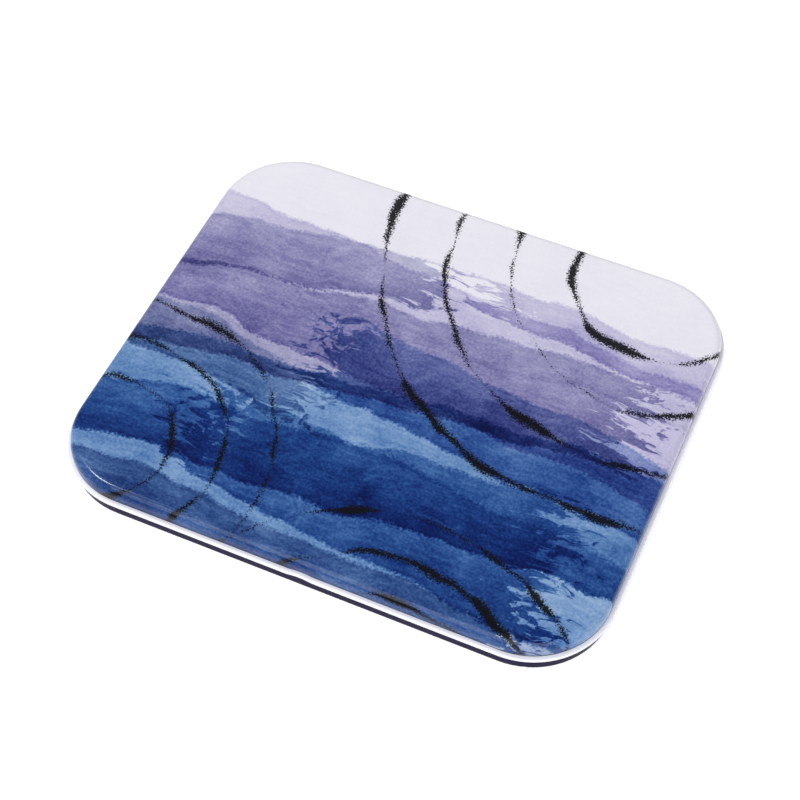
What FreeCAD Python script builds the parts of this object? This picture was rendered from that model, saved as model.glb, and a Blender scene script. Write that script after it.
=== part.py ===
import FreeCAD, Part
import math
import os

import Sketcher

# Wet palette in a hinged tin: a shallow lacquered base, a white water tray whose flange stands out between
# the base and the lid, a sponge and a permeable sheet in the tray, and a printed lid with a white liner
# and a seal.
# Millimetres. X runs along the long side, -Y is the front, +Z is up. The origin is on the ground, under
# the middle of the tin.
doc = FreeCAD.newDocument("wet_palette")

# Driving dimensions
sizes = doc.addObject("Spreadsheet::Sheet", "Sizes")
DRIVING = {
    # the outline of the lid and the base
    "tin_length": 200.0,
    "tin_width": 169.0,
    "corner_radius": 28.7,
    # tinplate, and the folded rim of the lid and the base
    "tin_gauge": 0.3,
    "hem_height": 1.6,
    "hem_rounding": 0.2,
    # base
    "base_height": 6.7,
    "base_edge_radius": 1.2,
    "foot_width": 9.0,
    "panel_lift": 0.6,
    "panel_rounding": 0.25,
    # water tray
    "flange_height": 1.4,
    "flange_reach": 1.4,
    "flange_rounding": 0.3,
    "flange_back_inset": 0.15,
    "tray_wall": 1.1,
    "tray_floor": 1.2,
    "tray_rounding": 1.5,
    "tray_seat": 0.2,
    "tray_fit": 0.4,
    "lip_depth": 1.0,
    "lip_fit": 0.3,
    "land_width": 3.3,
    "land_rounding": 0.3,
    # sponge and paper
    "sponge_height": 3.2,
    "sponge_gap": 0.3,
    "sponge_rounding": 0.6,
    "paper_thickness": 0.2,
    "paper_margin": 1.0,
    # lid, its liner and its seal
    "lid_seam": 0.2,
    "lid_height": 5.3,
    "lid_edge_radius": 3.0,
    "liner_thickness": 0.8,
    "liner_rounding": 0.7,
    "rib_height": 1.5,
    "rib_thickness": 0.9,
    "rib_rounding": 0.3,
    "plug_gap": 0.6,
    "gasket_height": 1.2,
    "gasket_width": 1.6,
    "gasket_margin": 0.3,
    "gasket_rounding": 0.5,
    # thumb notch in the middle of the front
    "thumb_width": 10.0,
    "thumb_depth": 0.5,
    "thumb_rise": 0.8,
    # the two hinges at the back
    "pin_diameter": 1.6,
    "pin_fit": 0.05,
    "pin_overhang": 0.4,
    "pin_rounding": 0.3,
    "hinge_spacing": 90.0,
    "hinge_drop": 0.55,
    "hinge_clearance": 0.3,
    "base_knuckle": 10.0,
    "lid_knuckle": 6.0,
    "knuckle_gap": 0.3,
    "knuckle_root": 1.0,
    # how far a cutting shape runs past the faces that it opens
    "cut_past": 0.5,
}
for row, (name, value) in enumerate(DRIVING.items(), start=1):
    sizes.set(f"A{row}", name)
    sizes.set(f"B{row}", str(value))
    sizes.setAlias(f"B{row}", name)

# Levels, insets and radii that follow from them. An inset is a distance inwards from the tin's outline.
places = doc.addObject("Spreadsheet::Sheet", "Places")
DERIVED = {
    "flange_inset": "-Sizes.flange_reach",
    "flange_top": "Sizes.base_height + Sizes.flange_height",
    "lid_rim": "flange_top + Sizes.lid_seam",
    "lid_top": "lid_rim + Sizes.lid_height",
    "ceiling": "lid_top - Sizes.tin_gauge",
    "liner_low": "ceiling - Sizes.liner_thickness",
    "land_top": "liner_low - Sizes.gasket_height",
    "hem_inset": "2 * Sizes.tin_gauge",
    "neck_inset": "hem_inset + Sizes.tray_fit",
    "lip_inset": "neck_inset + Sizes.lip_fit",
    "channel_inset": "neck_inset + Sizes.tray_wall",
    "well_inset": "neck_inset + Sizes.land_width",
    "shaft_inset": "well_inset - Sizes.tray_wall",
    "panel_inset": "Sizes.foot_width - Sizes.tin_gauge",
    "panel_top": "Sizes.panel_lift + Sizes.tin_gauge",
    "tray_under": "panel_top + Sizes.tray_seat",
    "floor_top": "tray_under + Sizes.tray_floor",
    "sponge_inset": "well_inset + Sizes.tray_rounding + Sizes.sponge_gap",
    "sponge_top": "floor_top + Sizes.sponge_height",
    "paper_inset": "sponge_inset + Sizes.paper_margin",
    "liner_inset": "Sizes.lid_edge_radius - Sizes.liner_rounding",
    "plug_inset": "well_inset + Sizes.plug_gap",
    "plug_inside": "plug_inset + Sizes.rib_thickness",
    "rib_low": "liner_low - Sizes.rib_height",
    "gasket_inner": "well_inset - Sizes.gasket_margin",
    "gasket_outer": "gasket_inner - Sizes.gasket_width",
    "bore_radius": "Sizes.pin_diameter / 2 + Sizes.pin_fit",
    "knuckle_radius": "bore_radius + Sizes.tin_gauge",
    "hinge_y": "Sizes.tin_width / 2 - Sizes.tin_gauge + knuckle_radius",
    "hinge_z": "lid_rim - Sizes.hinge_drop",
    "cutout_top": "hinge_z + knuckle_radius + Sizes.hinge_clearance",
    "lid_knuckle_start": "Sizes.base_knuckle / 2 + Sizes.knuckle_gap",
    "hinge_half": "lid_knuckle_start + Sizes.lid_knuckle",
    "thumb_radius": "(Sizes.thumb_width ^ 2 / 4 + Sizes.thumb_depth ^ 2) / (2 * Sizes.thumb_depth)",
    "thumb_y": "flange_inset - Sizes.tin_width / 2 - thumb_radius + Sizes.thumb_depth",
    "arch_radius": "(Sizes.thumb_width ^ 2 / 4 + Sizes.thumb_rise ^ 2) / (2 * Sizes.thumb_rise)",
}
for row, (name, formula) in enumerate(DERIVED.items(), start=1):
    places.set(f"A{row}", name)
    places.set(f"B{row}", "=" + formula)
    places.setAlias(f"B{row}", name)
doc.recompute()

# How close an edge's middle lies to the level and inset that are looked for
SAME = 1e-4


def size(name):
    return float(getattr(sizes, name))


def place(name):
    return float(getattr(places, name))


def new_body(label):
    body = doc.addObject("PartDesign::Body", label)
    body.Label = label
    return body


def attach(feature, body, role, **offsets):
    """Lays a sketch or a basic shape on one of its body's planes, moved along the plane's own axes."""
    plane = next(item for item in body.Origin.OriginFeatures if item.Role == role)
    feature.AttachmentSupport = [(plane, "")]
    feature.MapMode = "FlatFace"
    for axis, expression in offsets.items():
        feature.setExpression(f"AttachmentOffset.Base.{axis}", expression)


def bind(feature, **expressions):
    for name, expression in expressions.items():
        feature.setExpression(name, expression)


def new_sketch(body, name, role="XY_Plane", **offsets):
    sketch = body.newObject("Sketcher::SketchObject", name)
    attach(sketch, body, role, **offsets)
    return sketch


def constrain(sketch, name, expression, *arguments):
    """Adds a named dimension to a sketch and ties it to the sheets."""
    value = float(sketch.evalExpression(expression))
    index = sketch.addConstraint(Sketcher.Constraint(*arguments, value))
    sketch.renameConstraint(index, name)
    sketch.setExpression(f"Constraints.{name}", expression)


def add_outline(sketch, inset):
    """A rounded rectangle round the tin's middle, at an inset from the tin's outline."""
    length = f"Sizes.tin_length - 2 * {inset}"
    width = f"Sizes.tin_width - 2 * {inset}"
    radius = f"Sizes.corner_radius - {inset}"
    half_x = float(sketch.evalExpression(length)) / 2
    half_y = float(sketch.evalExpression(width)) / 2
    round_off = float(sketch.evalExpression(radius))
    flat_x = half_x - round_off
    flat_y = half_y - round_off

    def line(x1, y1, x2, y2):
        return Part.LineSegment(FreeCAD.Vector(x1, y1), FreeCAD.Vector(x2, y2))

    def corner(x, y, quarter):
        circle = Part.Circle(FreeCAD.Vector(x, y), FreeCAD.Vector(0, 0, 1), round_off)
        return Part.ArcOfCircle(circle, quarter * math.pi / 2, (quarter + 1) * math.pi / 2)

    front, front_right, right, back_right, back, back_left, left, front_left = sketch.addGeometry([
        line(-flat_x, -half_y, flat_x, -half_y),
        corner(flat_x, -flat_y, -1),
        line(half_x, -flat_y, half_x, flat_y),
        corner(flat_x, flat_y, 0),
        line(flat_x, half_y, -flat_x, half_y),
        corner(-flat_x, flat_y, 1),
        line(-half_x, flat_y, -half_x, -flat_y),
        corner(-flat_x, -flat_y, 2),
    ])
    loop = [front, front_right, right, back_right, back, back_left, left, front_left]
    for this, following in zip(loop, loop[1:] + loop[:1]):
        sketch.addConstraint(Sketcher.Constraint("Tangent", this, 2, following, 1))
    for other in (back_right, back_left, front_left):
        sketch.addConstraint(Sketcher.Constraint("Equal", front_right, other))
    sketch.addConstraint(Sketcher.Constraint("Horizontal", front))
    sketch.addConstraint(Sketcher.Constraint("Vertical", left))
    sketch.addConstraint(Sketcher.Constraint("Symmetric", back, 1, back, 2, -2))
    sketch.addConstraint(Sketcher.Constraint("Symmetric", right, 1, right, 2, -1))
    constrain(sketch, f"Length{front}", length, "DistanceX", left, 1, right, 1)
    constrain(sketch, f"Width{front}", width, "DistanceY", front, 1, back, 1)
    constrain(sketch, f"Corner{front}", radius, "Radius", front_right)


def outline_sketch(body, name, level, *insets):
    """One outline for a plate, or two for a ring, at a level above the ground."""
    sketch = new_sketch(body, name, z=level)
    for inset in insets:
        add_outline(sketch, inset)
    doc.recompute()
    return sketch


def pad(body, name, profile, length):
    feature = body.newObject("PartDesign::Pad", name)
    feature.Profile = profile
    bind(feature, Length=length)
    doc.recompute()
    return feature


def checked_cut(body, before):
    """A cut that points away from the solid removes nothing and shows no error, so volumes are compared."""
    doc.recompute()
    if not body.Shape.Volume < before:
        raise RuntimeError(f"{body.Label}: {body.Tip.Name} removed nothing")
    return body.Tip


def pocket(body, name, profile, depth, upward=False):
    before = body.Shape.Volume
    feature = body.newObject("PartDesign::Pocket", name)
    feature.Profile = profile
    feature.Reversed = upward
    bind(feature, Length=depth)
    return checked_cut(body, before)


def cut_shape(body, kind, name, role, offsets, **dimensions):
    """Cuts a box, cylinder or cone out of a body."""
    before = body.Shape.Volume
    feature = body.newObject(f"PartDesign::Subtractive{kind}", name)
    attach(feature, body, role, **offsets)
    bind(feature, **dimensions)
    return checked_cut(body, before)


def add_box(body, name, offsets, **dimensions):
    feature = body.newObject("PartDesign::AdditiveBox", name)
    attach(feature, body, "XY_Plane", **offsets)
    bind(feature, **dimensions)
    doc.recompute()
    return feature


def inset_of(point):
    """How far a point lies inside the tin's outline, seen from above."""
    radius = size("corner_radius")
    past_x = abs(point.x) - (size("tin_length") / 2 - radius)
    past_y = abs(point.y) - (size("tin_width") / 2 - radius)
    outside = math.hypot(max(past_x, 0), max(past_y, 0))
    return radius - outside - min(max(past_x, past_y), 0)


def rim_edges(shape, level, inset):
    """Names of the edges that run round the tin at a level and an inset."""
    names = []
    for number, edge in enumerate(shape.Edges, start=1):
        middle = edge.valueAt((edge.FirstParameter + edge.LastParameter) / 2)
        flat = all(abs(vertex.Z - level) < SAME for vertex in edge.Vertexes)
        if flat and abs(middle.z - level) < SAME and abs(inset_of(middle) - inset) < SAME:
            names.append(f"Edge{number}")
    return names


def round_edges(body, name, radius, names):
    base = body.Tip
    feature = body.newObject("PartDesign::Fillet", name)
    feature.Base = (base, names)
    bind(feature, Radius=radius)
    doc.recompute()
    return feature


def round_rims(body, name, radius, *rims):
    """Rounds whole rims, each given as a level and an inset."""
    names = []
    for level, inset in rims:
        names += rim_edges(body.Shape, level, inset)
    return round_edges(body, name, radius, names)


def hollow_out(body, name, level):
    """Leaves a drawn shell of the tinplate's gauge, open at the flat face at a level."""
    blank = body.Tip
    before = body.Shape.Volume
    mouth = [
        f"Face{number}" for number, face in enumerate(blank.Shape.Faces, start=1)
        if all(abs(vertex.Z - level) < SAME for vertex in face.Vertexes)
    ]
    feature = body.newObject("PartDesign::Thickness", name)
    feature.Base = (blank, mouth)
    feature.Reversed = True
    bind(feature, Value="Sizes.tin_gauge")
    return checked_cut(body, before)


HINGES = {"left": "-Sizes.hinge_spacing / 2", "right": "Sizes.hinge_spacing / 2"}


def add_knuckle(body, name, start, length, root, upward):
    """A strip of the wall that leaves it flush and curls round the hinge's wire."""
    sketch = new_sketch(body, name + "Profile", "YZ_Plane", z=start)
    y = place("hinge_y")
    z = place("hinge_z")
    outer = place("knuckle_radius")
    bore = place("bore_radius")
    inner_face = y - outer
    outer_face = y - bore
    way = 1 if upward else -1
    meet = z + way * math.sqrt(outer ** 2 - bore ** 2)
    end = float(sketch.evalExpression(root))
    centre = FreeCAD.Vector(y, z)
    touch_angle = math.pi
    meet_angle = math.atan2(meet - z, outer_face - y)
    circle = Part.Circle(centre, FreeCAD.Vector(0, 0, 1), outer)
    if upward:
        curl = Part.ArcOfCircle(circle, touch_angle, meet_angle + 2 * math.pi)
    else:
        curl = Part.ArcOfCircle(circle, meet_angle, touch_angle)
    touch_end, meet_end = (1, 2) if upward else (2, 1)
    corners = [
        FreeCAD.Vector(outer_face, meet),
        FreeCAD.Vector(outer_face, end),
        FreeCAD.Vector(inner_face, end),
        FreeCAD.Vector(inner_face, z),
    ]
    arc, outside, tail, inside, hole = sketch.addGeometry([
        curl,
        Part.LineSegment(corners[0], corners[1]),
        Part.LineSegment(corners[1], corners[2]),
        Part.LineSegment(corners[2], corners[3]),
        Part.Circle(centre, FreeCAD.Vector(0, 0, 1), bore),
    ])
    sketch.addConstraint(Sketcher.Constraint("Coincident", arc, meet_end, outside, 1))
    sketch.addConstraint(Sketcher.Constraint("Coincident", outside, 2, tail, 1))
    sketch.addConstraint(Sketcher.Constraint("Coincident", tail, 2, inside, 1))
    sketch.addConstraint(Sketcher.Constraint("Tangent", inside, 2, arc, touch_end))
    sketch.addConstraint(Sketcher.Constraint("Vertical", outside))
    sketch.addConstraint(Sketcher.Constraint("Vertical", inside))
    sketch.addConstraint(Sketcher.Constraint("Horizontal", tail))
    sketch.addConstraint(Sketcher.Constraint("Coincident", hole, 3, arc, 3))
    constrain(sketch, "AxisY", "Places.hinge_y", "DistanceX", -1, 1, arc, 3)
    constrain(sketch, "AxisZ", "Places.hinge_z", "DistanceY", -1, 1, arc, 3)
    constrain(sketch, "Curl", "Places.knuckle_radius", "Radius", arc)
    constrain(sketch, "Bore", "Places.bore_radius", "Radius", hole)
    constrain(sketch, "Gauge", "Sizes.tin_gauge", "DistanceX", tail, 2, tail, 1)
    constrain(sketch, "Root", root, "DistanceY", -1, 1, tail, 1)
    doc.recompute()
    return pad(body, name, sketch, length)


# Base: a shallow pan drawn from tinplate, with a folded rim, a raised bottom panel inside a flat foot
# ring and a hinge knuckle at each hinge
base = new_body("base_shell")
blank = outline_sketch(base, "BaseOutline", "0", "0")
pad(base, "BaseBlank", blank, "Sizes.base_height")
round_rims(base, "BaseEdge", "Sizes.base_edge_radius", (0, 0))
hollow_out(base, "BaseWall", size("base_height"))
panel = outline_sketch(base, "BasePanelOutline", "Sizes.tin_gauge", "Places.panel_inset")
pad(base, "BasePanel", panel, "Sizes.panel_lift")
panel_under = outline_sketch(base, "BasePanelUnderOutline", "0", "Sizes.foot_width")
pocket(base, "BasePanelUnder", panel_under, "Sizes.panel_lift", upward=True)
round_rims(
    base, "BasePanelEdges", "Sizes.panel_rounding",
    (0, size("foot_width")), (size("panel_lift"), size("foot_width")),
    (size("tin_gauge"), place("panel_inset")), (place("panel_top"), place("panel_inset")),
)
hem = outline_sketch(
    base, "BaseHemOutline", "Sizes.base_height - Sizes.hem_height", "Sizes.tin_gauge", "Places.hem_inset"
)
pad(base, "BaseHem", hem, "Sizes.hem_height")
round_rims(
    base, "BaseRim", "Sizes.hem_rounding",
    (size("base_height"), 0), (size("base_height"), place("hem_inset")),
)
for side, middle in HINGES.items():
    add_knuckle(
        base, f"BaseKnuckle_{side}", f"{middle} - Sizes.base_knuckle / 2", "Sizes.base_knuckle",
        "Sizes.base_height - Sizes.knuckle_root", upward=False,
    )

# Hinge pins: two wires, one through the three knuckles of each hinge, with rounded ends
pins = []
for side, middle in HINGES.items():
    pin = new_body(f"hinge_pin_{side}")
    wire = pin.newObject("PartDesign::AdditiveCylinder", f"Wire_{side}")
    half = "(Places.hinge_half + Sizes.pin_overhang)"
    attach(wire, pin, "YZ_Plane", x="Places.hinge_y", y="Places.hinge_z", z=f"{middle} - {half}")
    bind(wire, Radius="Sizes.pin_diameter / 2", Height=f"2 * {half}")
    doc.recompute()
    flats = [
        f"Face{number}" for number, face in enumerate(wire.Shape.Faces, start=1)
        if isinstance(face.Surface, Part.Plane)
    ]
    round_edges(pin, f"WireEnds_{side}", "Sizes.pin_rounding", flats)
    pins.append(pin)

# Water tray: a white moulding. Its well holds the sponge, its upstand fits inside the lid and ends in a
# flat land for the seal, and its flange rests on the base's rim and stands out between the base and the
# lid. The upstand is cored from below, so that the walls stay even, and a lip under the flange centres the
# tray in the base. The flange has a thumb scoop in the front and is cut straight at the back, where the
# lid swings past it.
tray = new_body("water_tray")
shaft = outline_sketch(tray, "TrayShaftOutline", "Places.tray_under", "Places.shaft_inset")
pad(tray, "TrayShaft", shaft, "Places.land_top - Places.tray_under")
neck = outline_sketch(tray, "TrayNeckOutline", "Sizes.base_height", "Places.neck_inset")
pad(tray, "TrayNeck", neck, "Places.land_top - Sizes.base_height")
flange = outline_sketch(tray, "TrayFlangeOutline", "Sizes.base_height", "Places.flange_inset")
pad(tray, "TrayFlange", flange, "Sizes.flange_height")
well = outline_sketch(tray, "TrayWellOutline", "Places.land_top", "Places.well_inset")
pocket(tray, "TrayWell", well, "Places.land_top - Places.floor_top")
channel = outline_sketch(
    tray, "TrayChannelOutline", "Sizes.base_height", "Places.channel_inset", "Places.shaft_inset"
)
pocket(
    tray, "TrayChannel", channel, "Places.land_top - Sizes.tray_wall - Sizes.base_height", upward=True
)
lip = outline_sketch(
    tray, "TrayLipOutline", "Sizes.base_height - Sizes.lip_depth", "Places.lip_inset", "Places.channel_inset"
)
pad(tray, "TrayLip", lip, "Sizes.lip_depth")
round_rims(tray, "TrayFloorEdge", "Sizes.tray_rounding", (place("floor_top"), place("well_inset")))
round_rims(
    tray, "TrayUnderEdge", "Sizes.tray_rounding + Sizes.tray_wall",
    (place("tray_under"), place("shaft_inset")),
)
round_rims(
    tray, "TrayLandEdges", "Sizes.land_rounding",
    (place("land_top"), place("well_inset")), (place("land_top"), place("neck_inset")),
)
round_rims(
    tray, "TrayFlangeEdges", "Sizes.flange_rounding",
    (size("base_height"), place("flange_inset")), (place("flange_top"), place("flange_inset")),
)
cut_shape(
    tray, "Cylinder", "TrayThumbScoop", "XY_Plane",
    {"y": "Places.thumb_y", "z": "Sizes.base_height"},
    Radius="Places.thumb_radius",
    Height="Sizes.flange_height",
)
cut_shape(
    tray, "Box", "TrayFlangeBack", "XY_Plane",
    {
        "x": "-Sizes.tin_length / 2",
        "y": "Sizes.tin_width / 2 - Sizes.flange_back_inset",
        "z": "Sizes.base_height",
    },
    Length="Sizes.tin_length",
    Width="Sizes.flange_back_inset + Sizes.flange_reach + Sizes.cut_past",
    Height="Sizes.flange_height",
)
for side, middle in HINGES.items():
    cut_shape(
        tray, "Box", f"HingeRecess_{side}", "XY_Plane",
        {
            "x": f"{middle} - Places.hinge_half - Sizes.pin_overhang - Sizes.hinge_clearance",
            "y": "Sizes.tin_width / 2 - Sizes.tin_gauge - Sizes.hinge_clearance",
            "z": "Sizes.base_height",
        },
        Length="2 * (Places.hinge_half + Sizes.pin_overhang + Sizes.hinge_clearance)",
        Width="Sizes.tin_gauge + Sizes.hinge_clearance + Sizes.cut_past",
        Height="Sizes.flange_height",
    )

# Sponge: a flat cellulose pad, cut to lie inside the rounding of the tray's floor
sponge = new_body("sponge")
slab = outline_sketch(sponge, "SpongeOutline", "Places.floor_top", "Places.sponge_inset")
pad(sponge, "SpongeBlock", slab, "Sizes.sponge_height")
round_rims(
    sponge, "SpongeEdges", "Sizes.sponge_rounding",
    (place("floor_top"), place("sponge_inset")), (place("sponge_top"), place("sponge_inset")),
)

# Palette paper: one permeable sheet laid on the sponge
paper = new_body("palette_paper")
sheet = outline_sketch(paper, "PaperOutline", "Places.sponge_top", "Places.paper_inset")
pad(paper, "PaperSheet", sheet, "Sizes.paper_thickness")

# Lid: drawn from tinplate, with a soft top edge, a folded rim, a thumb arch in the front of the rim, and
# at each hinge two knuckles with a cut-out between them for the base's knuckle
lid = new_body("lid_shell")
blank = outline_sketch(lid, "LidOutline", "Places.lid_rim", "0")
pad(lid, "LidBlank", blank, "Sizes.lid_height")
round_rims(lid, "LidEdge", "Sizes.lid_edge_radius", (place("lid_top"), 0))
hollow_out(lid, "LidWall", place("lid_rim"))
hem = outline_sketch(lid, "LidHemOutline", "Places.lid_rim", "Sizes.tin_gauge", "Places.hem_inset")
pad(lid, "LidHem", hem, "Sizes.hem_height")
round_rims(
    lid, "LidRim", "Sizes.hem_rounding", (place("lid_rim"), 0), (place("lid_rim"), place("hem_inset")),
)
# On the upright plane, the cylinder's own axis runs from the front of the tin towards -Y.
cut_shape(
    lid, "Cylinder", "ThumbArch", "XZ_Plane",
    {
        "y": "Places.lid_rim + Sizes.thumb_rise - Places.arch_radius",
        "z": "Sizes.tin_width / 2 - Places.neck_inset",
    },
    Radius="Places.arch_radius",
    Height="Places.neck_inset + Sizes.cut_past",
)
for side, middle in HINGES.items():
    cut_shape(
        lid, "Box", f"KnuckleCutout_{side}", "XY_Plane",
        {
            "x": f"{middle} - Sizes.base_knuckle / 2 - Sizes.hinge_clearance",
            "y": "Sizes.tin_width / 2 - Places.neck_inset",
            "z": "Places.lid_rim - Sizes.cut_past",
        },
        Length="Sizes.base_knuckle + 2 * Sizes.hinge_clearance",
        Width="Places.neck_inset + Sizes.cut_past",
        Height="Places.cutout_top - Places.lid_rim + Sizes.cut_past",
    )
    starts = {
        "inner": f"{middle} - Places.hinge_half",
        "outer": f"{middle} + Places.lid_knuckle_start",
    }
    for end, start in starts.items():
        add_knuckle(
            lid, f"LidKnuckle_{side}_{end}", start, "Sizes.lid_knuckle",
            "Places.lid_rim + Sizes.knuckle_root", upward=True,
        )

# Lid liner: a white moulding under the lid's top. Its low wall plugs the tray's well, and two ribs part
# it into three mixing bays.
liner = new_body("lid_liner")
plate = outline_sketch(liner, "LinerOutline", "Places.liner_low", "Places.liner_inset")
pad(liner, "LinerPlate", plate, "Sizes.liner_thickness")
round_rims(liner, "LinerEdge", "Sizes.liner_rounding", (place("ceiling"), place("liner_inset")))
plug = outline_sketch(liner, "LinerWallOutline", "Places.rib_low", "Places.plug_inset", "Places.plug_inside")
pad(liner, "LinerWall", plug, "Sizes.rib_height")
bay_line = "(Sizes.tin_length / 2 - Places.plug_inset) / 3"
for name, middle in {"left": f"-{bay_line}", "right": bay_line}.items():
    add_box(
        liner, f"LinerRib_{name}",
        {
            "x": f"{middle} - Sizes.rib_thickness / 2",
            "y": "Places.plug_inset + Sizes.rib_thickness / 2 - Sizes.tin_width / 2",
            "z": "Places.rib_low",
        },
        Length="Sizes.rib_thickness",
        Width="Sizes.tin_width - 2 * Places.plug_inset - Sizes.rib_thickness",
        Height="Sizes.rib_height",
    )
low_edges = [
    f"Edge{number}" for number, edge in enumerate(liner.Shape.Edges, start=1)
    if all(abs(vertex.Z - place("rib_low")) < SAME for vertex in edge.Vertexes)
]
round_edges(liner, "LinerRibEdges", "Sizes.rib_rounding", low_edges)

# Lid gasket: a silicone ring on the liner, whose rounded underside closes on the tray's land
gasket = new_body("lid_gasket")
ring = outline_sketch(
    gasket, "GasketOutline", "Places.land_top", "Places.gasket_outer", "Places.gasket_inner"
)
pad(gasket, "GasketRing", ring, "Sizes.gasket_height")
round_rims(
    gasket, "GasketEdges", "Sizes.gasket_rounding",
    (place("land_top"), place("gasket_outer")), (place("land_top"), place("gasket_inner")),
)

# Every object has to be sound before anything is written
doc.recompute()
for item in doc.Objects:
    if "Invalid" in item.State or "Error" in item.State:
        raise RuntimeError(f"{item.Name} failed: {item.State}")
bodies = [base, *pins, tray, sponge, paper, lid, liner, gasket]
for body in bodies:
    if body.Shape.isNull() or not body.Shape.isValid() or len(body.Shape.Solids) != 1:
        raise RuntimeError(f"{body.Label} is not one valid solid")

os.makedirs("parts", exist_ok=True)
for body in bodies:
    body.Shape.exportStep(f"parts/{body.Label}.step")
    print(f"{body.Label}: {body.Shape.Volume:.1f} mm3")
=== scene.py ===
import math

import bmesh
import bpy
from mathutils import Matrix, Vector, noise


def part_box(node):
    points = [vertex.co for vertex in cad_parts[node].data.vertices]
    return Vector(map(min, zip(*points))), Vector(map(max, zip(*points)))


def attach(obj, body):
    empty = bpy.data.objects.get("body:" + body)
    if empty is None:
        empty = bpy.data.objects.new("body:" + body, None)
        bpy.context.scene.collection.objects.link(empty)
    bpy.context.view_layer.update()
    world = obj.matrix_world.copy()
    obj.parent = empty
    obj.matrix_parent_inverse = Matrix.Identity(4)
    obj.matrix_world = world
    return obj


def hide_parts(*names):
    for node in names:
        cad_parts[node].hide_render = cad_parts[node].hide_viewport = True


# A wet palette: a flat hinged tin with a printed lid, a dark base and a white water tray between them.
# Metres, in the frame of the solids: X along the long side, -Y the front, +Z up.
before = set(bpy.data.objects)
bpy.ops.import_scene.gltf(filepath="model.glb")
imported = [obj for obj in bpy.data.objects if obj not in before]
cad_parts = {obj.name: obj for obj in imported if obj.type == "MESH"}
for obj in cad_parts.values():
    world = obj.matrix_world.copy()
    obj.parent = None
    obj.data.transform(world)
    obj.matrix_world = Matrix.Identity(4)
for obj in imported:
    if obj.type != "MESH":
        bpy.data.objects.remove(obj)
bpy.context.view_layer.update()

# Base: a shallow pan pressed from tinplate, coated all over with a dark lacquer and baked. It lies on its
# foot ring, and its rim carries the tray.
MM = 0.001


def srgb(code):
    """An sRGB hex colour in linear light."""
    parts = [int(code[start:start + 2], 16) / 255 for start in (1, 3, 5)]
    return [c / 12.92 if c <= 0.04045 else ((c + 0.055) / 1.055) ** 2.4 for c in parts] + [1.0]


def add_node(tree, kind, inputs, **settings):
    """Adds a shader node with its settings, gives each input a value or a link, and returns its outputs."""
    made = tree.nodes.new("ShaderNode" + kind)
    for name, value in settings.items():
        setattr(made, name, value)
    for socket, value in inputs.items():
        if isinstance(value, bpy.types.NodeSocket):
            tree.links.new(value, made.inputs[socket])
        else:
            made.inputs[socket].default_value = value
    return made.outputs


def start_material(name):
    """A material without nodes, and coordinates in mm: a texture's scale is one over its grain in mm."""
    material = bpy.data.materials.new(name)
    material.use_nodes = True
    tree = material.node_tree
    tree.nodes.clear()
    position = add_node(tree, "TexCoord", {})["Object"]
    in_mm = add_node(tree, "VectorMath", {0: position, "Scale": 1 / MM}, operation="SCALE")[0]
    return material, tree, in_mm


def coat_node(name, material):
    """Gives a solid its material in place of the plain one that it came with."""
    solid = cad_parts[name]
    solid.data.materials.clear()
    solid.data.materials.append(material)


LACQUER = "#110e29"
LACQUER_THIN = "#191538"
LACQUER_SCUFF = "#77747f"
LACQUER_SHEEN = 0.04
# Heights above the table in mm, where scuffs begin and where they are fullest
SCUFF_TOP = 0.25
SCUFF_FULL = 0.02
# Stoved lacquer is smooth but not flat: a faint orange peel, thinner and lighter in places, and dull
# scuffs where the foot ring has slid on a table
lacquer, tree, at = start_material("stoved_lacquer_on_tinplate")
flow = add_node(tree, "TexNoise", {"Vector": at, "Scale": 1 / 14, "Detail": 3.0, "Roughness": 0.55})[0]
peel = add_node(tree, "TexNoise", {"Vector": at, "Scale": 1 / 1.6, "Detail": 1.0})[0]
scratch = add_node(tree, "TexNoise", {"Vector": at, "Scale": 1 / 0.9, "Detail": 5.0, "Roughness": 0.7})[0]
height = add_node(tree, "SeparateXYZ", {0: at})[2]
near_ground = add_node(
    tree, "MapRange", {0: height, 1: SCUFF_TOP, 2: SCUFF_FULL, 3: 0.0, 4: 1.0},
    interpolation_type="SMOOTHSTEP",
)[0]
scuffed = add_node(tree, "MapRange", {0: scratch, 1: 0.58, 2: 0.7, 3: 0.0, 4: 0.8})[0]
scuff = add_node(tree, "Math", {0: near_ground, 1: scuffed}, operation="MULTIPLY")[0]
coat_colour = add_node(
    tree, "Mix", {0: flow, 6: srgb(LACQUER), 7: srgb(LACQUER_THIN)}, data_type="RGBA"
)[2]
worn_colour = add_node(
    tree, "Mix", {0: scuff, 6: coat_colour, 7: srgb(LACQUER_SCUFF)}, data_type="RGBA"
)[2]
dulled = add_node(tree, "MapRange", {0: scuff, 1: 0.0, 2: 1.0, 3: 0.2, 4: 0.5})[0]
skin = add_node(tree, "Bump", {"Strength": 0.25, "Distance": 0.02 * MM, "Height": peel})[0]
surface = add_node(tree, "BsdfPrincipled", {
    "Base Color": worn_colour, "Roughness": dulled, "Specular IOR Level": LACQUER_SHEEN, "Normal": skin,
})[0]
add_node(tree, "OutputMaterial", {"Surface": surface})
coat_node("base_shell", lacquer)

# Hinge pins: two short lengths of drawn steel wire, pushed through the knuckles of the base and the lid
# and cut off with rounded ends
STEEL = "#c3c4c6"
STEEL_DARK = "#8f9092"
wire_steel, tree, at = start_material("drawn_steel_wire")
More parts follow.
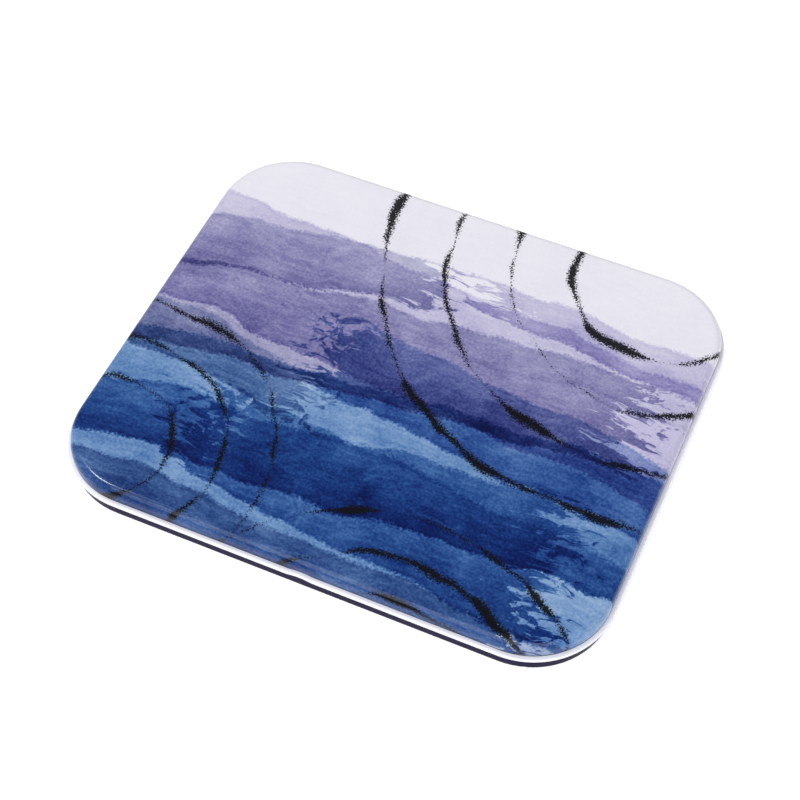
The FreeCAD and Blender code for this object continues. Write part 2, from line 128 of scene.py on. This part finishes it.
# Drawing leaves fine lines along the wire
along = add_node(tree, "Mapping", {"Vector": at, "Scale": (1 / 9, 1 / 0.12, 1 / 0.12)})[0]
lines = add_node(tree, "TexNoise", {"Vector": along, "Scale": 1.0, "Detail": 3.0})[0]
steel_colour = add_node(tree, "Mix", {0: lines, 6: srgb(STEEL_DARK), 7: srgb(STEEL)}, data_type="RGBA")[2]
steel_dull = add_node(tree, "MapRange", {0: lines, 1: 0.3, 2: 0.7, 3: 0.42, 4: 0.24})[0]
groove = add_node(tree, "Bump", {"Strength": 0.3, "Distance": 0.01 * MM, "Height": lines})[0]
surface = add_node(tree, "BsdfPrincipled", {
    "Base Color": steel_colour, "Metallic": 1.0, "Roughness": steel_dull, "Normal": groove,
})[0]
add_node(tree, "OutputMaterial", {"Surface": surface})
for pin in ("hinge_pin_left", "hinge_pin_right"):
    coat_node(pin, wire_steel)

# Water tray: one white polypropylene moulding, dropped into the base. Its flange stands out as a white
# line all round under the lid, and its well holds the sponge and the water.
POLYPROPYLENE = "#e9e9f2"
POLYPROPYLENE_SHADE = "#dfdfe9"
white_moulding, tree, at = start_material("moulded_white_polypropylene")
# A satin tool finish: a fine even grain, and faint clouds where the melt flowed
cloud = add_node(tree, "TexNoise", {"Vector": at, "Scale": 1 / 22, "Detail": 2.0})[0]
spark = add_node(tree, "TexNoise", {"Vector": at, "Scale": 1 / 0.45, "Detail": 2.0})[0]
white = add_node(
    tree, "Mix", {0: cloud, 6: srgb(POLYPROPYLENE_SHADE), 7: srgb(POLYPROPYLENE)}, data_type="RGBA"
)[2]
satin = add_node(tree, "MapRange", {0: cloud, 1: 0.3, 2: 0.7, 3: 0.3, 4: 0.4})[0]
grain = add_node(tree, "Bump", {"Strength": 0.2, "Distance": 0.015 * MM, "Height": spark})[0]
surface = add_node(tree, "BsdfPrincipled", {
    "Base Color": white, "Roughness": satin, "IOR": 1.49, "Normal": grain,
    "Subsurface Weight": 0.2, "Subsurface Radius": (1.0, 1.0, 1.0), "Subsurface Scale": 0.6 * MM,
})[0]
add_node(tree, "OutputMaterial", {"Surface": surface})
coat_node("water_tray", white_moulding)


# Sponge: a pad of cellulose foam, stamped from a flat sheet and laid in the tray. Its skin is open, with
# small round pores and a few larger ones.
def rounded_outline(low, high, corner, segments):
    """One flat face with rounded corners, on the floor of a box, as a bmesh."""
    made = bmesh.new()
    bmesh.ops.create_grid(made, x_segments=1, y_segments=1, size=0.5)
    bmesh.ops.scale(made, vec=(high.x - low.x, high.y - low.y, 1), verts=made.verts)
    bmesh.ops.translate(made, vec=((low.x + high.x) / 2, (low.y + high.y) / 2, low.z), verts=made.verts)
    bmesh.ops.bevel(
        made, geom=made.verts[:], affect="VERTICES", offset=corner, segments=segments, profile=0.5,
        material=-1,
    )
    return made


def finish_piece(made, name, material):
    """Turns a bmesh into a smooth-shaded object at the origin."""
    mesh = bpy.data.meshes.new(name)
    made.to_mesh(mesh)
    made.free()
    piece = bpy.data.objects.new(name, mesh)
    bpy.context.scene.collection.objects.link(piece)
    mesh.materials.append(material)
    mesh.shade_smooth()
    return piece


CELLULOSE = "#e8d293"
# The colour down in the pores: painted shade, darker than the foam
CELLULOSE_PORE_SHADE = "#c3a35a"
SPONGE_CORNER = 22.6 * MM
SPONGE_EDGE = 0.6 * MM
SPONGE_VOXEL = 0.95 * MM
CORNER_SEGMENTS = 14
EDGE_SEGMENTS = 3
LEVEL = 0.1 * MM
PORE_SPACING = 3.4 * MM
PORE_DEPTH = 0.9 * MM
# A pore's radius and how much it varies, as shares of the spacing, and the roughness of the skin
PORE_RADIUS = 0.25
PORE_SPREAD = 0.2
SKIN_ROUGHNESS = 0.12 * MM
sponge_low, sponge_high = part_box("sponge")
# Cellulose foam is matt and slightly see-through. Its colour is mottled by the fibres and darkened down in
# its pores, which is painted shade.
foam, tree, at = start_material("cellulose_foam")
pores = add_node(tree, "TexVoronoi", {"Vector": at, "Scale": 1 / 1.3})[0]
fibres = add_node(tree, "TexNoise", {"Vector": at, "Scale": 1 / 0.5, "Detail": 4.0, "Roughness": 0.65})[0]
depth = add_node(tree, "MapRange", {0: pores, 1: 0.05, 2: 0.4, 3: 0.0, 4: 1.0})[0]
shade = add_node(tree, "Math", {0: depth, 1: fibres}, operation="MULTIPLY")[0]
lit = add_node(tree, "MapRange", {0: shade, 1: 0.1, 2: 0.55, 3: 0.0, 4: 1.0})[0]
foam_colour = add_node(
    tree, "Mix", {0: lit, 6: srgb(CELLULOSE_PORE_SHADE), 7: srgb(CELLULOSE)}, data_type="RGBA"
)[2]
pitted = add_node(tree, "Bump", {"Strength": 0.7, "Distance": 0.3 * MM, "Height": depth})[0]
surface = add_node(tree, "BsdfPrincipled", {
    "Base Color": foam_colour, "Roughness": 0.9, "IOR": 1.4, "Normal": pitted,
    "Subsurface Weight": 0.25, "Subsurface Radius": (1.0, 0.7, 0.3), "Subsurface Scale": 1.2 * MM,
})[0]
add_node(tree, "OutputMaterial", {"Surface": surface})

slab = rounded_outline(sponge_low, sponge_high, SPONGE_CORNER, CORNER_SEGMENTS)
risen = bmesh.ops.extrude_face_region(slab, geom=slab.faces[:])
bmesh.ops.translate(
    slab, vec=(0, 0, sponge_high.z - sponge_low.z),
    verts=[item for item in risen["geom"] if isinstance(item, bmesh.types.BMVert)],
)
bmesh.ops.recalc_face_normals(slab, faces=slab.faces)
rims = [edge for edge in slab.edges if abs(edge.verts[0].co.z - edge.verts[1].co.z) < LEVEL]
bmesh.ops.bevel(
    slab, geom=rims, affect="EDGES", offset=SPONGE_EDGE, segments=EDGE_SEGMENTS, profile=0.5,
    material=-1,
)
block = finish_piece(slab, "sponge_block", foam)
remesh = block.modifiers.new("cells", "REMESH")
remesh.mode = "VOXEL"
remesh.voxel_size = SPONGE_VOXEL
pad_mesh = bpy.data.meshes.new_from_object(block.evaluated_get(bpy.context.evaluated_depsgraph_get()))
bpy.data.objects.remove(block)
sponge_pad = bpy.data.objects.new("sponge_pad", pad_mesh)
bpy.context.scene.collection.objects.link(sponge_pad)
for vertex, normal in zip(pad_mesh.vertices, [entry.vector.copy() for entry in pad_mesh.vertex_normals]):
    nearest = noise.voronoi(vertex.co / PORE_SPACING)[0][0]
    size_here = PORE_RADIUS + PORE_SPREAD * noise.noise(vertex.co / (4 * PORE_SPACING))
    pit = max(0.0, 1 - nearest / size_here)
    rough = 0.5 + 0.5 * noise.noise(vertex.co / (0.6 * PORE_SPACING))
    vertex.co -= normal * (PORE_DEPTH * math.sqrt(pit) + SKIN_ROUGHNESS * rough)
    vertex.co.z = min(max(vertex.co.z, sponge_low.z), sponge_high.z)
pad_mesh.shade_smooth()
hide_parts("sponge")
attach(sponge_pad, "base")

# Palette paper: one sheet of permeable parchment, cut with rounded corners and laid on the sponge. Dry
# parchment cockles a little, so that it touches the sponge only here and there.
PARCHMENT = "#e4e0d3"
PARCHMENT_DARK = "#d0cabb"
PAPER_CORNER = 21.6 * MM
PAPER_CELL = 4 * MM
PAPER_GAUGE = 0.12 * MM
COCKLE = 0.35 * MM
COCKLE_LENGTH = 55 * MM
FINE_COCKLE = 0.3
FINE_COCKLE_LENGTH = 22 * MM
paper_low, paper_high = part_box("palette_paper")
# Pressed cellulose: cloudy when held to the light, with short fibres, and no gloss
parchment, tree, at = start_material("permeable_parchment")
felt = add_node(tree, "TexNoise", {"Vector": at, "Scale": 1 / 6, "Detail": 5.0, "Roughness": 0.65})[0]
fibre = add_node(tree, "TexNoise", {"Vector": at, "Scale": 1 / 0.4, "Detail": 2.0})[0]
paper_colour = add_node(
    tree, "Mix", {0: felt, 6: srgb(PARCHMENT_DARK), 7: srgb(PARCHMENT)}, data_type="RGBA"
)[2]
nap = add_node(tree, "Bump", {"Strength": 0.25, "Distance": 0.03 * MM, "Height": fibre})[0]
surface = add_node(tree, "BsdfPrincipled", {
    "Base Color": paper_colour, "Roughness": 0.75, "IOR": 1.45, "Normal": nap,
    "Subsurface Weight": 0.3, "Subsurface Radius": (1.0, 0.9, 0.7), "Subsurface Scale": 0.3 * MM,
})[0]
add_node(tree, "OutputMaterial", {"Surface": surface})

sheet = rounded_outline(paper_low, paper_high, PAPER_CORNER, CORNER_SEGMENTS)
flat_area = sum(face.calc_area() for face in sheet.faces)
for axis in (0, 1):
    across = Vector((axis == 0, axis == 1, 0))
    cell = paper_low[axis] + PAPER_CELL
    while cell < paper_high[axis]:
        whole = sheet.verts[:] + sheet.edges[:] + sheet.faces[:]
        bmesh.ops.bisect_plane(sheet, geom=whole, plane_co=across * cell, plane_no=across)
        cell += PAPER_CELL
for vertex in sheet.verts:
    wave = noise.noise(vertex.co / COCKLE_LENGTH)
    wave += FINE_COCKLE * noise.noise(vertex.co / FINE_COCKLE_LENGTH)
    vertex.co.z = paper_high.z + COCKLE * (0.5 + 0.5 * wave)
palette_sheet = finish_piece(sheet, "palette_sheet", parchment)
gauge = palette_sheet.modifiers.new("gauge", "SOLIDIFY")
gauge.thickness = PAPER_GAUGE
gauge.offset = -1.0
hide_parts("palette_paper")
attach(palette_sheet, "base")

# Lid: drawn from tinplate that was printed flat and varnished, so that the print runs on over the soft
# edge and down the skirt. The print is a graded watercolour wash under chalk rings, like rain on water.
PAPER_WHITE = "#e2e0e5"
FAINT_WASH = "#f1f1f6"
NAVY = "#61779f"
COBALT = "#5780b4"
PERIWINKLE = "#7796c6"
LAVENDER = "#a2a2c3"
LILAC_MIST = "#bfbcdb"
CHALK = "#08070b"
# Brush strokes, from the first laid to the last: middle x and y, half length, half width in mm, tilt in
# degrees, pigment and how thickly it is laid
STROKES = [
    (10, 62, 150, 44, 3, FAINT_WASH, 1.0),
    (0, 20, 140, 27, -5, LILAC_MIST, 1.0),
    (-34, 6, 118, 21, 4, LAVENDER, 1.05),
    (52, -8, 84, 17, -7, PERIWINKLE, 0.95),
    (-12, -34, 140, 26, 3, COBALT, 1.05),
    (40, -56, 100, 20, -6, COBALT, 0.8),
    (-40, -72, 118, 38, 5, COBALT, 1.0),
    (-16, -98, 150, 24, -2, NAVY, 1.0),
    (-64, 36, 58, 12, 8, LAVENDER, 0.8),
    (66, 44, 54, 9, -4, LILAC_MIST, 0.9),
    (-76, -14, 48, 11, -9, NAVY, 0.5),
]
# Chalk rings: middle x and y, spacing of the rings, and the radii between which they are drawn, in mm
RIPPLES = [
    (74, 80, 24, 20, 128),
    (-88, -66, 18, 12, 76),
    (36, -128, 17, 40, 84),
]
# How far, in mm, water carries the edges of a wash, and a stroke is ragged at its ends and sides
WANDER = 17.0
DRY_END = 26.0
ROUGH_SIDE = 0.9
END_FADE = 0.2
# A stroke is laid thicker along its front side than along its back
HEAVY_SIDE = 1.15
LIGHT_SIDE = 0.5
# From a stroke's outline inwards, in mm: where its paint begins and is full, and where the darker line
# that dries along the edge begins and ends
PAINT_BEGINS = -0.4
PAINT_FULL = 1.0
DRIED_BEGINS = 0.2
DRIED_ENDS = 3.0
DRIED_DARKER = 1.35
# Chalk: how far the hand strays, a line's least and greatest half width, and how far it crumbles, in mm
SWAY = 9.0
LINE_LEAST = -0.7
LINE_MOST = 2.2
CRUMBLE = 1.6
CHALK_COVER = 0.98
LID_HEIGHT = 5.3
LID_CORNER = 28.7
FOLD_MARGIN = 0.55
FOLD_BLEND = 0.055
KNUCKLE_GAP = 0.1
OUTWARD_ENOUGH = 0.02
VARNISH_ROUGHNESS = 0.15
VARNISH_SHEEN = 0.2
lid_low, lid_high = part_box("lid_shell")
lid_top = lid_high.z / MM
lid_rim = lid_top - LID_HEIGHT
half_length = lid_high.x / MM
half_width = -lid_low.y / MM
print_tin, tree, at = start_material("varnished_print_on_tinplate")
# The outward direction in plan, and the print unfolded by the depth below the top
straight_x = half_length - LID_CORNER
straight_y = half_width - LID_CORNER
core = add_node(tree, "VectorMath", {
    0: add_node(tree, "VectorMath", {
        0: at, 1: (-straight_x, -straight_y, 0.0),
    }, operation="MAXIMUM")[0],
    1: (straight_x, straight_y, 0.0),
}, operation="MINIMUM")[0]
flat_at = add_node(tree, "VectorMath", {0: at, 1: (1.0, 1.0, 0.0)}, operation="MULTIPLY")[0]
from_core = add_node(tree, "VectorMath", {0: flat_at, 1: core}, operation="SUBTRACT")[0]
outward = add_node(tree, "VectorMath", {0: from_core}, operation="NORMALIZE")[0]
_, backward, height = add_node(tree, "SeparateXYZ", {0: at})
drop = add_node(tree, "Math", {0: lid_top, 1: height}, operation="SUBTRACT")[0]
over_edge = add_node(tree, "VectorMath", {0: outward, "Scale": drop}, operation="SCALE")[0]
unfolded = add_node(tree, "VectorMath", {0: flat_at, 1: over_edge}, operation="ADD")[0]
# Water carries the edges of a wash about, so that the strokes are drawn on a bent sheet
drift = add_node(tree, "TexNoise", {
    "Vector": unfolded, "Scale": 1 / 38, "Detail": 3.0, "Roughness": 0.5,
})[1]
centred = add_node(tree, "VectorMath", {0: drift, 1: (0.5, 0.5, 0.5)}, operation="SUBTRACT")[0]
bend = add_node(tree, "VectorMath", {0: centred, "Scale": WANDER}, operation="SCALE")[0]
bent = add_node(tree, "VectorMath", {0: unfolded, 1: bend}, operation="ADD")[0]
# Pigment settles in the hollows of rough paper, pools in clouds, and follows the brush in streaks
tooth = add_node(tree, "TexNoise", {
    "Vector": unfolded, "Scale": 1 / 1.1, "Detail": 3.0, "Roughness": 0.6,
})[0]
pool = add_node(tree, "TexNoise", {"Vector": bent, "Scale": 1 / 26, "Detail": 5.0, "Roughness": 0.6})[0]
brushed = add_node(tree, "Mapping", {"Vector": bent, "Scale": (1 / 55, 1 / 2.6, 1.0)})[0]
streak = add_node(tree, "TexNoise", {"Vector": brushed, "Scale": 1.0, "Detail": 4.0, "Roughness": 0.6})[0]
settled = add_node(tree, "MapRange", {0: tooth, 1: 0.3, 2: 0.7, 3: 0.8, 4: 1.2}, clamp=True)[0]
pooled = add_node(tree, "MapRange", {0: pool, 1: 0.28, 2: 0.72, 3: 0.7, 4: 1.3}, clamp=True)[0]
streaked = add_node(tree, "MapRange", {0: streak, 1: 0.3, 2: 0.7, 3: 0.82, 4: 1.18}, clamp=True)[0]
body = add_node(tree, "Math", {0: settled, 1: pooled}, operation="MULTIPLY")[0]
body = add_node(tree, "Math", {0: body, 1: streaked}, operation="MULTIPLY")[0]
ragged_end = add_node(tree, "MapRange", {
    0: streak, 1: 0.25, 2: 0.75, 3: -DRY_END, 4: DRY_END,
}, clamp=False)[0]
ragged_side = add_node(tree, "MapRange", {
    0: tooth, 1: 0.2, 2: 0.8, 3: -ROUGH_SIDE, 4: ROUGH_SIDE,
}, clamp=False)[0]
wash = srgb(PAPER_WHITE)[:3]
for x, y, half_run, half_brush, tilt, pigment, cover in STROKES:
    own = add_node(tree, "Mapping", {
        "Vector": bent, "Location": (x, y, 0.0), "Rotation": (0.0, 0.0, math.radians(tilt)),
    }, vector_type="TEXTURE")[0]
    run, side, _ = add_node(tree, "SeparateXYZ", {0: own})
    graded = add_node(tree, "MapRange", {
        0: side, 1: -half_brush, 2: half_brush, 3: HEAVY_SIDE * cover, 4: LIGHT_SIDE * cover,
    })[0]
    run = add_node(tree, "Math", {0: run}, operation="ABSOLUTE")[0]
    side = add_node(tree, "Math", {0: side}, operation="ABSOLUTE")[0]
    to_end = add_node(tree, "Math", {0: half_run, 1: run}, operation="SUBTRACT")[0]
    to_end = add_node(tree, "Math", {0: to_end, 1: ragged_end}, operation="ADD")[0]
    to_end = add_node(tree, "Math", {0: to_end, 1: END_FADE}, operation="MULTIPLY")[0]
    to_side = add_node(tree, "Math", {0: half_brush, 1: side}, operation="SUBTRACT")[0]
    to_side = add_node(tree, "Math", {0: to_side, 1: ragged_side}, operation="ADD")[0]
    inside = add_node(tree, "Math", {0: to_end, 1: to_side}, operation="MINIMUM")[0]
    wet = add_node(tree, "MapRange", {0: inside, 1: PAINT_BEGINS, 2: PAINT_FULL, 3: 0.0, 4: 1.0})[0]
    dried = add_node(tree, "MapRange", {
        0: inside, 1: DRIED_BEGINS, 2: DRIED_ENDS, 3: DRIED_DARKER, 4: 1.0,
    })[0]
    laid = add_node(tree, "Math", {0: wet, 1: dried}, operation="MULTIPLY")[0]
    laid = add_node(tree, "Math", {0: laid, 1: graded}, operation="MULTIPLY")[0]
    laid = add_node(tree, "Math", {0: laid, 1: body}, operation="MULTIPLY")[0]
    glaze = add_node(tree, "Gamma", {"Color": srgb(pigment), "Gamma": laid})[0]
    wash = add_node(tree, "VectorMath", {0: wash, 1: glaze}, operation="MULTIPLY")[0]
# Chalk drags over the tooth of the paper: it breaks up, and is wider where the hand leans on it
sway = add_node(tree, "TexNoise", {"Vector": unfolded, "Scale": 1 / 30, "Detail": 2.0})[1]
sway = add_node(tree, "VectorMath", {0: sway, 1: (0.5, 0.5, 0.5)}, operation="SUBTRACT")[0]
sway = add_node(tree, "VectorMath", {0: sway, "Scale": SWAY}, operation="SCALE")[0]
drawn_at = add_node(tree, "VectorMath", {0: unfolded, 1: sway}, operation="ADD")[0]
lean = add_node(tree, "TexNoise", {"Vector": unfolded, "Scale": 1 / 30, "Detail": 3.0})[0]
half_line = add_node(tree, "MapRange", {
    0: lean, 1: 0.34, 2: 0.62, 3: LINE_LEAST, 4: LINE_MOST,
}, clamp=True)[0]
crumb = add_node(
    tree, "TexNoise", {"Vector": unfolded, "Scale": 1 / 0.7, "Detail": 3.0, "Roughness": 0.7}
)[0]
crumbled = add_node(tree, "MapRange", {
    0: crumb, 1: 0.3, 2: 0.7, 3: -CRUMBLE, 4: CRUMBLE,
}, clamp=False)[0]
chalk_line = None
for x, y, spacing, least_radius, most_radius in RIPPLES:
    away = add_node(tree, "VectorMath", {0: drawn_at, 1: (x, y, 0.0)}, operation="DISTANCE")["Value"]
    turn = add_node(tree, "Math", {0: away, 1: spacing}, operation="DIVIDE")[0]
    turn = add_node(tree, "Math", {0: turn}, operation="FRACT")[0]
    turn = add_node(tree, "Math", {0: turn, 1: 0.5}, operation="SUBTRACT")[0]
    turn = add_node(tree, "Math", {0: turn}, operation="ABSOLUTE")[0]
    off_line = add_node(tree, "Math", {0: turn, 1: spacing}, operation="MULTIPLY")[0]
    cover = add_node(tree, "Math", {0: half_line, 1: off_line}, operation="SUBTRACT")[0]
    past_least = add_node(tree, "Math", {0: away, 1: least_radius}, operation="GREATER_THAN")[0]
    within = add_node(tree, "Math", {0: away, 1: most_radius}, operation="LESS_THAN")[0]
    within = add_node(tree, "Math", {0: within, 1: past_least}, operation="MULTIPLY")[0]
    cover = add_node(tree, "Math", {0: cover, 1: crumbled}, operation="ADD")[0]
    mark = add_node(tree, "MapRange", {0: cover, 1: 0.0, 2: 0.5, 3: 0.0, 4: CHALK_COVER})[0]
    mark = add_node(tree, "Math", {0: mark, 1: within}, operation="MULTIPLY")[0]
    if chalk_line is None:
        chalk_line = mark
    else:
        chalk_line = add_node(tree, "Math", {0: chalk_line, 1: mark}, operation="MAXIMUM")[0]
print_colour = add_node(tree, "Mix", {0: chalk_line, 6: wash, 7: srgb(CHALK)}, data_type="RGBA")[2]
# Faces that look inwards or down, the margin along the fold of the rim and the hinge knuckles behind the
# skirt carry the base's lacquer
facing = add_node(tree, "TexCoord", {})["Normal"]
facing_out = add_node(tree, "VectorMath", {0: facing, 1: outward}, operation="DOT_PRODUCT")["Value"]
facing_up = add_node(tree, "SeparateXYZ", {0: facing})[2]
faces = add_node(tree, "Math", {0: facing_out, 1: facing_up}, operation="MAXIMUM")[0]
turned_out = add_node(tree, "Math", {0: faces, 1: OUTWARD_ENOUGH}, operation="GREATER_THAN")[0]
above_fold = add_node(tree, "MapRange", {
    0: height, 1: lid_rim + FOLD_MARGIN - FOLD_BLEND, 2: lid_rim + FOLD_MARGIN, 3: 0.0, 4: 1.0,
})[0]
before_hinge = add_node(tree, "Math", {0: backward, 1: half_width + KNUCKLE_GAP}, operation="LESS_THAN")[0]
printed = add_node(tree, "Math", {0: turned_out, 1: above_fold}, operation="MULTIPLY")[0]
printed = add_node(tree, "Math", {0: printed, 1: before_hinge}, operation="MULTIPLY")[0]
lid_colour = add_node(tree, "Mix", {0: printed, 6: srgb(LACQUER), 7: print_colour}, data_type="RGBA")[2]
# Gloss varnish on thin drawn sheet: slow waves in the sheet and a faint orange peel
sheet_wave = add_node(tree, "TexNoise", {"Vector": at, "Scale": 1 / 60, "Detail": 1.0})[0]
slow = add_node(tree, "Bump", {"Strength": 0.35, "Distance": 0.5 * MM, "Height": sheet_wave})[0]
peel = add_node(tree, "TexNoise", {"Vector": at, "Scale": 1 / 1.4, "Detail": 1.0})[0]
varnish = add_node(tree, "Bump", {
    "Strength": 0.15, "Distance": 0.01 * MM, "Height": peel, "Normal": slow,
})[0]
surface = add_node(tree, "BsdfPrincipled", {
    "Base Color": lid_colour, "Roughness": VARNISH_ROUGHNESS, "Specular IOR Level": VARNISH_SHEEN,
    "Normal": varnish,
})[0]
add_node(tree, "OutputMaterial", {"Surface": surface})
coat_node("lid_shell", print_tin)

# Lid liner: a thin white moulding pressed into the lid. Its low wall plugs the tray's well, and its ribs
# part it into three bays for mixing, finished matt so that wet paint stays where it is put.
LINER_WHITE = "#dedee2"
LINER_SHADE = "#d2d2d8"
matt_moulding, tree, at = start_material("matt_white_polypropylene")
cloud = add_node(tree, "TexNoise", {"Vector": at, "Scale": 1 / 30, "Detail": 2.0})[0]
etch = add_node(tree, "TexNoise", {"Vector": at, "Scale": 1 / 0.5, "Detail": 3.0})[0]
white = add_node(tree, "Mix", {0: cloud, 6: srgb(LINER_SHADE), 7: srgb(LINER_WHITE)}, data_type="RGBA")[2]
texture = add_node(tree, "Bump", {"Strength": 0.35, "Distance": 0.02 * MM, "Height": etch})[0]
surface = add_node(tree, "BsdfPrincipled", {
    "Base Color": white, "Roughness": 0.55, "IOR": 1.49, "Normal": texture,
    "Subsurface Weight": 0.15, "Subsurface Radius": (1.0, 1.0, 1.0), "Subsurface Scale": 0.5 * MM,
})[0]
add_node(tree, "OutputMaterial", {"Surface": surface})
coat_node("lid_liner", matt_moulding)

# Lid gasket: a ring moulded from milky silicone and bonded to the liner. Its rounded side closes on the
# tray's rim.
SILICONE = "#c3cad0"
SILICONE_SHADE = "#b2bbc3"
silicone, tree, at = start_material("milky_silicone")
haze = add_node(tree, "TexNoise", {"Vector": at, "Scale": 1 / 7, "Detail": 2.0})[0]
bloom = add_node(tree, "TexNoise", {"Vector": at, "Scale": 1 / 0.6, "Detail": 2.0})[0]
milk = add_node(tree, "Mix", {0: haze, 6: srgb(SILICONE_SHADE), 7: srgb(SILICONE)}, data_type="RGBA")[2]
soft = add_node(tree, "Bump", {"Strength": 0.15, "Distance": 0.01 * MM, "Height": bloom})[0]
surface = add_node(tree, "BsdfPrincipled", {
    "Base Color": milk, "Roughness": 0.4, "IOR": 1.41, "Normal": soft,
    "Subsurface Weight": 0.5, "Subsurface Radius": (1.0, 1.0, 1.0), "Subsurface Scale": 1.0 * MM,
})[0]
add_node(tree, "OutputMaterial", {"Surface": surface})
coat_node("lid_gasket", silicone)

# Floor: a plain white table of matt opal acrylic, faintly lit from below. Its edges lie outside the
# photograph's view.
FLOOR_WHITE = "#fbfbfd"
FLOOR_SIZE = 6.0
FLOOR_GLOW = 0.4
FLOOR_GAP = 0.05 * MM
opal_table = bpy.data.materials.new("matt_opal_acrylic")
opal_table.use_nodes = True
opal_table.node_tree.nodes.clear()
surface = add_node(opal_table.node_tree, "BsdfPrincipled", {
    "Base Color": srgb(FLOOR_WHITE), "Roughness": 0.9,
    "Emission Color": srgb(FLOOR_WHITE), "Emission Strength": FLOOR_GLOW,
})[0]
add_node(opal_table.node_tree, "OutputMaterial", {"Surface": surface})
plane = bmesh.new()
bmesh.ops.create_grid(plane, x_segments=1, y_segments=1, size=FLOOR_SIZE / 2)
bmesh.ops.translate(plane, vec=(0, 0, -FLOOR_GAP), verts=plane.verts)
floor = finish_piece(plane, "floor", opal_table)

# Light: a dim white room, a large softbox overhead in front, and a small one high on the left, which
# draws the thin highlight at the lid's corner. Neither is mirrored by the lid's flat top.
ROOM_WHITE = "#fbfbff"
ROOM_STRENGTH = 0.3
# Where each softbox stands, its two sides in metres and its power in watts
SOFTBOXES = {
    "overhead_softbox": ((0.25, -1.9, 2.9), (3.6, 3.6), 138.0),
    "left_softbox": ((-1.25, 0.494, 2.4), (0.38, 0.22), 16.5),
}
for name, (spot, sides, power) in SOFTBOXES.items():
    lamp = bpy.data.lights.new(name, "AREA")
    lamp.shape = "RECTANGLE"
    lamp.size, lamp.size_y = sides
    lamp.energy = power
    softbox = bpy.data.objects.new(name, lamp)
    softbox.location = spot
    softbox.rotation_mode = "QUATERNION"
    softbox.rotation_quaternion = (-Vector(spot)).to_track_quat("-Z", "Y")
    bpy.context.scene.collection.objects.link(softbox)
room = bpy.data.worlds.new("white_room")
room.use_nodes = True
walls = room.node_tree.nodes["Background"]
walls.inputs["Color"].default_value = srgb(ROOM_WHITE)
walls.inputs["Strength"].default_value = ROOM_STRENGTH
bpy.context.scene.world = room
bpy.context.scene.view_settings.view_transform = "Standard"

# Camera: the photograph's view, from the front, turned to the right and looking down through a long lens.
# The values come from a fit to the tin's outline.
CAMERA_AZIMUTH = math.radians(23.55)
CAMERA_ELEVATION = math.radians(53.6)
CAMERA_ROLL = math.radians(0.35)
CAMERA_DISTANCE = 671.0 * MM
CAMERA_ASIDE = -0.87 * MM
CAMERA_RAISED = 0.75 * MM
LENS_MM = 83.2
SENSOR_MM = 36.0
flat_back = math.cos(CAMERA_ELEVATION)
back = Vector((
    math.sin(CAMERA_AZIMUTH) * flat_back, -math.cos(CAMERA_AZIMUTH) * flat_back, math.sin(CAMERA_ELEVATION)
))
level_right = Vector((math.cos(CAMERA_AZIMUTH), math.sin(CAMERA_AZIMUTH), 0))
level_up = back.cross(level_right)
right = math.cos(CAMERA_ROLL) * level_right + math.sin(CAMERA_ROLL) * level_up
up = math.cos(CAMERA_ROLL) * level_up - math.sin(CAMERA_ROLL) * level_right
lens = bpy.data.cameras.new("camera")
lens.lens = LENS_MM
lens.sensor_width = SENSOR_MM
camera = bpy.data.objects.new("camera", lens)
turned = Matrix((right, up, back)).transposed().to_4x4()
stand = back * CAMERA_DISTANCE + right * CAMERA_ASIDE + up * CAMERA_RAISED
camera.matrix_world = Matrix.Translation(stand) @ turned
bpy.context.scene.collection.objects.link(camera)
bpy.context.scene.camera = camera
